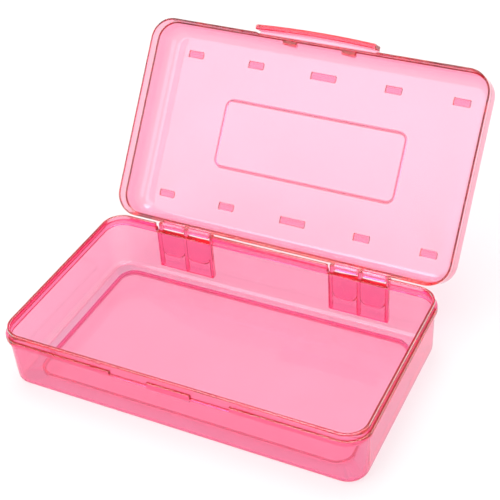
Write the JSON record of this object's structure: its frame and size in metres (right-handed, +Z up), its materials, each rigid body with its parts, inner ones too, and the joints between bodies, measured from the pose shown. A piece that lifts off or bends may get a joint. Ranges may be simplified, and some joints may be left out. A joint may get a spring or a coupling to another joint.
{
  "type": "pencil box",
  "caption": "Translucent moulded pencil box: a shallow tray with a stepped rim and a deep hinged lid with a thumb tab, which snaps shut at the front and swings back on to a stop.",
  "frame": {"origin": "centre of the tray's base, on the surface that the box stands on", "axes": "+X along the box to the right of someone facing its front, -Y to the front with the thumb tab's side, +Y to the hinges, +Z up; the lid is stored open on its stop"},
  "size_m": [0.2, 0.2007, 0.1302],
  "materials": {
    "pink_plastic": "glossy translucent injection-moulded plastic, tinted pink"
  },
  "bodies": {
    "tray": {"tray": "pink_plastic"},
    "lid": {"lid": "pink_plastic"}
  },
  "joints": [
    {"name": "lid_hinge", "type": "hinge", "parent": "tray", "child": "lid", "pos_m": [0, 0.0586, 0.0309], "axis": [1, 0, 0], "range_deg": [0, 126.7]}
  ]
}
